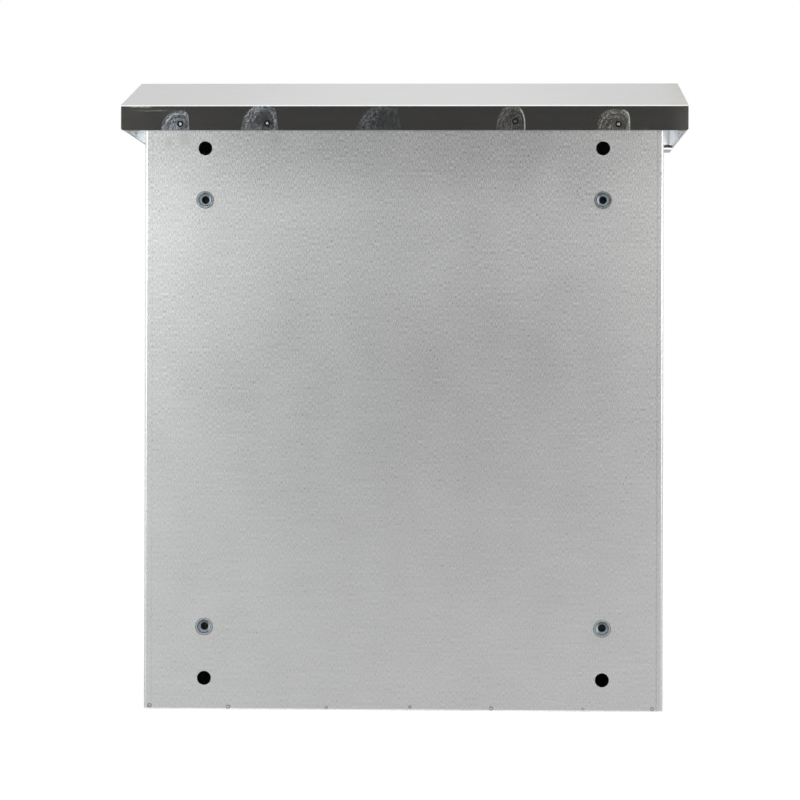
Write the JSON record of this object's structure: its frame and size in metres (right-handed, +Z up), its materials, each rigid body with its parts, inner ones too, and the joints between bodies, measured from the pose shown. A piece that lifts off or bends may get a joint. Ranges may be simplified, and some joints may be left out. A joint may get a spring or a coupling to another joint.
{
  "type": "wall-mounted junction box",
  "caption": "Upright folded stainless steel wall box with a hinged front door, a ridged rain hood, wall-fixing holes in its back panel and rivet nuts that carry an inner mounting plate.",
  "frame": {"origin": "centre of the four wall holes, in the outer face of the back panel", "axes": "+X across the box towards the hinges, +Y out of the back towards the wall, +Z up"},
  "size_m": [0.385, 0.2062, 0.437],
  "materials": {
    "matt_stainless": "matt, fine vertical grain",
    "brushed_stainless": "smooth, brushed along its length",
    "bright_stainless": "bright, turned and stamped",
    "zinc_plate": "bluish zinc plating",
    "galvanised": "galvanised sheet",
    "brass": "turned brass",
    "seal_rubber": "foamed rubber, matt",
    "lock_chrome": "satin chrome plating"
  },
  "bodies": {
    "box": {"body_wrap": "matt_stainless", "top_panel": "matt_stainless", "bottom_panel": "matt_stainless", "hood_support": "matt_stainless", "gland_plate": "matt_stainless", "rain_hood": "brushed_stainless", "rivet_nuts": "zinc_plate", "plate_washers": "zinc_plate", "gland_washers": "zinc_plate", "gland_nuts": "zinc_plate", "plate_screws": "zinc_plate", "body_leaf_nuts": "zinc_plate", "mounting_plate": "galvanised", "gland_studs": "bright_stainless", "body_earth_stud": "bright_stainless", "upper_body_leaf": "bright_stainless", "lower_body_leaf": "bright_stainless", "upper_hinge_pin": "bright_stainless", "lower_hinge_pin": "bright_stainless", "body_leaf_screws": "bright_stainless", "body_earth_washers": "brass", "body_earth_nuts": "brass", "gland_seal": "seal_rubber"},
    "door": {"door_panel": "matt_stainless", "door_seal": "seal_rubber", "upper_door_leaf": "bright_stainless", "lower_door_leaf": "bright_stainless", "door_leaf_screws": "bright_stainless", "door_leaf_nuts": "zinc_plate", "lock_housing": "lock_chrome", "lock_seal": "seal_rubber", "lock_nut": "zinc_plate", "door_earth_stud": "bright_stainless", "door_earth_washers": "brass", "door_earth_nuts": "brass"},
    "cam": {"lock_core": "lock_chrome", "lock_cam": "zinc_plate", "lock_cam_washer": "zinc_plate", "lock_cam_screw": "zinc_plate"}
  },
  "joints": [
    {"name": "door_hinge", "type": "hinge", "parent": "box", "child": "door", "pos_m": [0.1805, -0.14475, 0], "axis": [0, 0, 1], "range_deg": [0, 110]},
    {"name": "lock_turn", "type": "hinge", "parent": "door", "child": "cam", "pos_m": [-0.13401, -0.15, -0.006], "axis": [0, 1, 0], "range_deg": [0, 90]}
  ]
}
